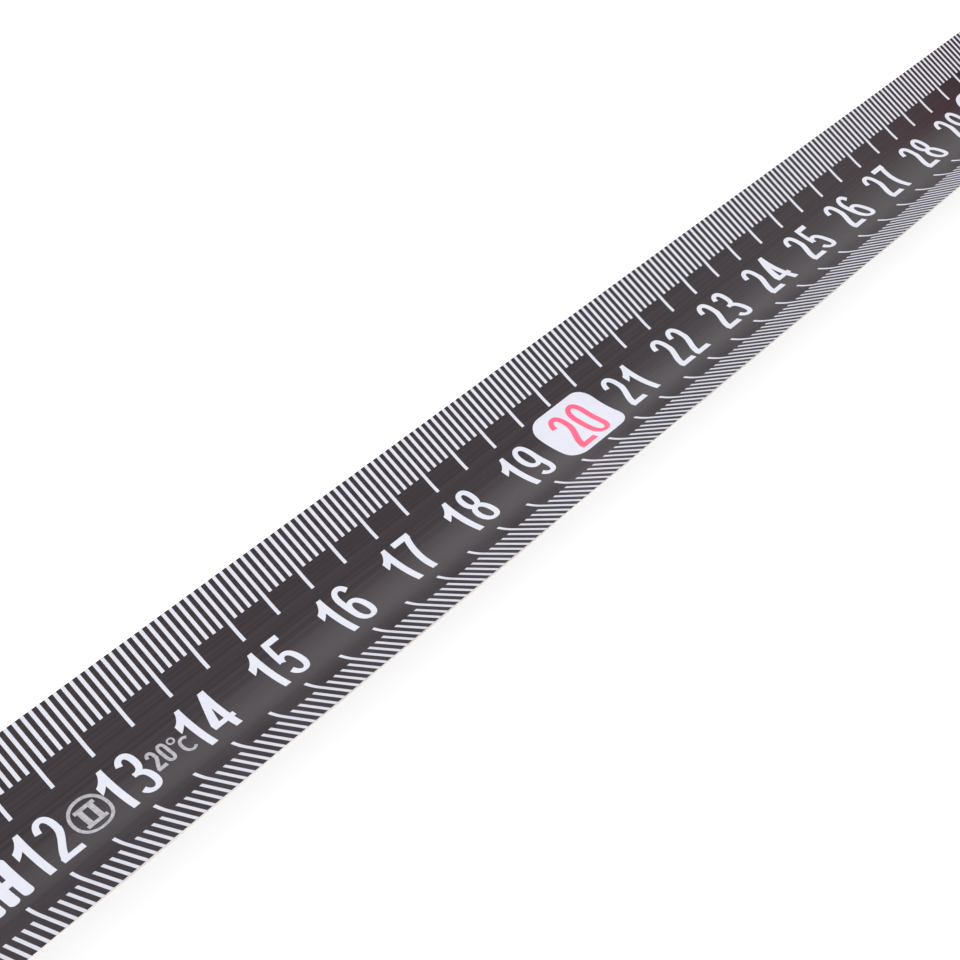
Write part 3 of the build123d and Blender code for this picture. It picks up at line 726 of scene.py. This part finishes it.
def sheet_strip(path, half_widths, thickness):
    """A strip of sheet metal along a path of (y, z) points, its width given at each point."""
    rows = []
    for k, (y, z) in enumerate(path):
        along = heading(path, k)
        out = Vector((along.y, -along.x)) * thickness / 2
        row = []
        for side, across in ((1, 1), (1, -1), (-1, -1), (-1, 1)):
            row.append((across * half_widths[k], y + side * out.x, z + side * out.y))
        rows.append(row)
    return lofted(rows)


def clip_path(near, far, foot, tip, half):
    """The clip's middle line as (y, z), up the case leaf, over the bend and down the leg, and its
    half width at each point."""
    corner, bend = CLIP_FOOT_CORNER, (far - near) / 2
    path, widths = [], []
    for angle in (math.radians(90 * step / 8) for step in range(9)):
        path.append((near, foot + corner - corner * math.cos(angle)))
        widths.append(half - corner + corner * math.sin(angle))
    path += [(near, z) for z in spaced(foot + corner, CLIP_BEND_Z, 6)]
    for angle in (math.radians(15 * step) for step in range(1, 13)):
        path.append((near + bend - bend * math.cos(angle), CLIP_BEND_Z + bend * math.sin(angle)))
    waist = (far - CLIP_WAIST, CLIP_WAIST_Z)
    path += curve((far, CLIP_BEND_Z), *((far, z) for z in CLIP_PULLS), waist, 12)[1:]
    path += curve(waist, *((far + dy, z) for dy, z in CLIP_LIP_PULLS), (far + CLIP_LIP, tip), 10)[1:]
    widths += [half] * (len(path) - len(widths))
    for k in range(8):
        fullness = math.sin(math.radians(90 * k / 7))
        widths[-1 - k] = half - CLIP_TIP_CORNER + CLIP_TIP_CORNER * fullness
    return path, widths


def build_clip(material):
    """The belt clip as the one bent strip it is: leaf on the case, bend over the top, and leg."""
    base_low, base_high = cad_box("clip_base")
    leg_low, leg_high = cad_box("belt_clip")
    sheet = base_high.y - base_low.y
    middle_x = (base_low.x + base_high.x) / 2
    near = base_low.y + sheet / 2
    far = near + 2 * (leg_high.z - sheet / 2 - CLIP_BEND_Z)
    path, widths = clip_path(near, far, base_low.z, leg_low.z + CLIP_TIP_RISE, base_high.x - middle_x)
    points, faces = sheet_strip(path, widths, sheet - CLIP_SHRINK)
    points = [(middle_x + x, y, z) for x, y, z in points]
    piece = new_object("clip_strip", points, faces, material)
    outline_bevel(piece, CLIP_ROUND)
    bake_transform(piece)
    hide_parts("clip_base", "belt_clip")


def outline_bevel(piece, width):
    """Rounds a mesh's outer edges in the mesh itself and shades it smooth."""
    shape = bmesh.new()
    shape.from_mesh(piece.data)
    bmesh.ops.recalc_face_normals(shape, faces=shape.faces)
    edges = [e for e in shape.edges if e.calc_face_angle(0) > math.radians(40)]
    bmesh.ops.bevel(shape, geom=edges, offset=width * MM, segments=3, profile=0.5,
                    affect="EDGES", clamp_overlap=True)
    shape.to_mesh(piece.data)
    shape.free()
    shade(piece, 50)


def rib_rows(face, up, out, along):
    """Closed loops down one rib, which lies in the hollow at along and thins to its ends."""
    height = SCOOP_OUT - math.sqrt(SCOOP_RADIUS ** 2 - (along - SCOOP_ALONG) ** 2)
    half = RIB_HALF - RIB_TAPER * (along - SCOOP_ALONG) ** 2
    rows = []
    for y in (-half, *spaced(-half, half, 12)):
        swell = math.sqrt(max(1 - (y / half) ** 4, 0.02))
        row = []
        for angle in (math.radians(36 * turn) for turn in range(10)):
            a = along + RIB_WIDE * swell * math.cos(angle)
            lift = height + RIB_HIGH * swell * math.sin(angle)
            row.append(tuple(face + up * a + out * lift + Vector((0, y, 0))))
        rows.append(row)
    return rows


def build_button_ribs(material):
    """Raised bars in the thumb lock's hollow."""
    up = Vector(next(j for j in frame["joints"] if j["name"] == "thumb_lock")["axis"]).normalized()
    out = Vector((-up.z, 0, up.x))
    face = Vector((FRONT_X + (LOCK_Z - FRONT_Z) * up.x / up.z, 0, LOCK_Z))
    points, faces = [], []
    for rib in range(RIB_COUNT):
        along = SCOOP_ALONG + RIB_STEP * (rib - RIB_COUNT // 2)
        more_points, more_faces = lofted(rib_rows(face, up, out, along))
        faces += [[len(points) + k for k in f] for f in more_faces]
        points += more_points
    mesh_piece("button_ribs", points, faces, material, "lock")


def dress(node, material, rounding=0.0, crease=32.0):
    """Gives a CAD node its material, smooth shading, and a small round on its sharp edges."""
    piece = nodes[node]
    piece.data.materials.clear()
    piece.data.materials.append(material)
    piece.data.polygons.foreach_set("use_smooth", [True] * len(piece.data.polygons))
    if not rounding:
        return
    weld = piece.modifiers.new("weld", "WELD")
    weld.merge_threshold = 1e-6
    tidy = piece.modifiers.new("tidy", "DECIMATE")
    tidy.decimate_type, tidy.angle_limit = "DISSOLVE", math.radians(0.5)
    edges = piece.modifiers.new("edges", "BEVEL")
    edges.width, edges.segments = rounding * MM, 2
    edges.limit_method, edges.angle_limit = "ANGLE", math.radians(crease)
    edges.use_clamp_overlap = True
    normals = piece.modifiers.new("normals", "WEIGHTED_NORMAL")
    normals.weight = 80


# ---------------------------------------------------------------- stage

def build_floor():
    """A plain pale floor."""
    material = new_material("floor_paper", 0.9, Specular_IOR_Level=0.1)
    tint(material, noise(material, 2), (0.94, 0.94, 0.94), (0.95, 0.95, 0.95))
    inputs = material.node_tree.nodes["Principled BSDF"].inputs
    inputs["Emission Color"].default_value = (1, 1, 1, 1)
    inputs["Emission Strength"].default_value = FLOOR_GLOW
    corners = rectangle(-FLOOR_HALF, FLOOR_HALF, -FLOOR_HALF, FLOOR_HALF)
    floor = new_object("floor", [(x, y, 0) for x, y in corners], [(0, 1, 2, 3)], material)


def build_world():
    """A white tent: dimmer at the horizon, brightest half-way up, and plain white to the camera."""
    world = bpy.data.worlds.new("tent")
    bpy.context.scene.world = world
    world.use_nodes = True
    tree = world.node_tree
    tree.nodes.clear()
    where = tree.nodes.new("ShaderNodeTexCoord")
    split = tree.nodes.new("ShaderNodeSeparateXYZ")
    ramp = tree.nodes.new("ShaderNodeValToRGB")
    while len(ramp.color_ramp.elements) < len(TENT_LEVELS):
        ramp.color_ramp.elements.new(0.5)
    for element, (height, level) in zip(ramp.color_ramp.elements, TENT_LEVELS):
        element.position, element.color = height, (level, level, level, 1)
    tent = tree.nodes.new("ShaderNodeBackground")
    seen = tree.nodes.new("ShaderNodeBackground")
    rays = tree.nodes.new("ShaderNodeLightPath")
    mix = tree.nodes.new("ShaderNodeMixShader")
    output = tree.nodes.new("ShaderNodeOutputWorld")
    tree.links.new(where.outputs["Generated"], split.inputs["Vector"])
    tree.links.new(split.outputs["Z"], ramp.inputs["Fac"])
    tree.links.new(ramp.outputs["Color"], tent.inputs["Color"])
    seen.inputs["Color"].default_value = (1, 1, 1, 1)
    tree.links.new(rays.outputs["Is Camera Ray"], mix.inputs["Fac"])
    tree.links.new(tent.outputs["Background"], mix.inputs[1])
    tree.links.new(seen.outputs["Background"], mix.inputs[2])
    tree.links.new(mix.outputs["Shader"], output.inputs["Surface"])


def build_lamp(name, place, power):
    """A large soft box that faces the middle of the object."""
    data = bpy.data.lights.new(name, "AREA")
    data.shape, data.size, data.energy = "SQUARE", LAMP_SIZE * MM, power
    lamp = bpy.data.objects.new(name, data)
    lamp.location = Vector(place) * MM
    middle = (cad_low + cad_high) / 2
    lamp.rotation_euler = (lamp.location - middle).to_track_quat("Z", "Y").to_euler()
    bpy.context.scene.collection.objects.link(lamp)


def build_camera():
    """The camera, above the hook end and looking along the blade to the case."""
    data = bpy.data.cameras.new("camera")
    data.lens, data.sensor_width = CAMERA_LENS, CAMERA_SENSOR
    data.clip_start, data.clip_end = 0.01, 50.0
    camera = bpy.data.objects.new("camera", data)
    zero = Vector((ZERO_X, 0, BLADE_Z + THICKNESS))
    camera.location = (zero + Vector(CAMERA_PLACE)) * MM
    camera.rotation_euler = [math.radians(angle) for angle in CAMERA_TURN]
    bpy.context.scene.collection.objects.link(camera)
    bpy.context.scene.camera = camera


coating, white, red, grey = blade_coating(), white_ink(), red_ink(), grey_ink()
shell, rubber, button, acetal = case_plastic(), grip_rubber(), button_plastic(), inner_plastic()
along_x, along_z = (0.05, 1, 1), (1, 1, 0.05)
plated = metal("plated_steel", (0.40, 0.40, 0.41), (0.50, 0.49, 0.48), 0.26, along_x)
blued = metal("spring_steel", (0.10, 0.11, 0.14), (0.16, 0.16, 0.19), 0.34, (1, 0.05, 1))
nickel = metal("clip_steel", (0.44, 0.43, 0.41), (0.55, 0.53, 0.51), 0.22, along_z)
black_screw = metal("screw_steel", (0.035, 0.035, 0.038), (0.06, 0.06, 0.065), 0.38, (1, 1, 1))
spun, wound = badge_metal(), wound_blade()

# Each CAD node that stays, with its material and the round on its edges
for name, material, rounding in (
    ("case_left", shell, 0.25), ("case_right", shell, 0.25),
    ("grip_left", rubber, 0.2), ("grip_right", rubber, 0.2),
    ("mouth_bumper", rubber, 0.25), ("mouth_plate", plated, 0.05), ("brake_bed", acetal, 0.1),
    ("badge_disc", spun, 0.08), ("case_screws", black_screw, 0.1), ("lanyard_bush", plated, 0.2),
    ("arbor", acetal, 0.1), ("thrust_washer_left", acetal, 0.0), ("thrust_washer_right", acetal, 0.0),
    ("reel_cup", acetal, 0.1), ("reel_cover", acetal, 0.1), ("power_spring", blued, 0.0),
    ("blade_coil", wound, 0.0), ("hook_doubler", plated, 0.06), ("hook_rivets", plated, 0.12),
    ("end_hook", plated, 0.25), ("lock_button", button, 0.0), ("lock_slide", acetal, 0.15),
    ("brake_pad", rubber, 0.1), ("detent_spring", blued, 0.05), ("clip_screw", black_screw, 0.0),
):
    dress(name, material, rounding)

build_blade(coating, blade_edge())
print_ticks(white)
print_numbers(white, red)
print_tab(white)
print_oval_and_temperature(grey)
build_clip(nickel)
build_button_ribs(button)

build_floor()
build_world()
for name, place, power in LAMPS:
    build_lamp(name, place, power)
build_camera()
bpy.context.scene.view_settings.view_transform = "Standard"
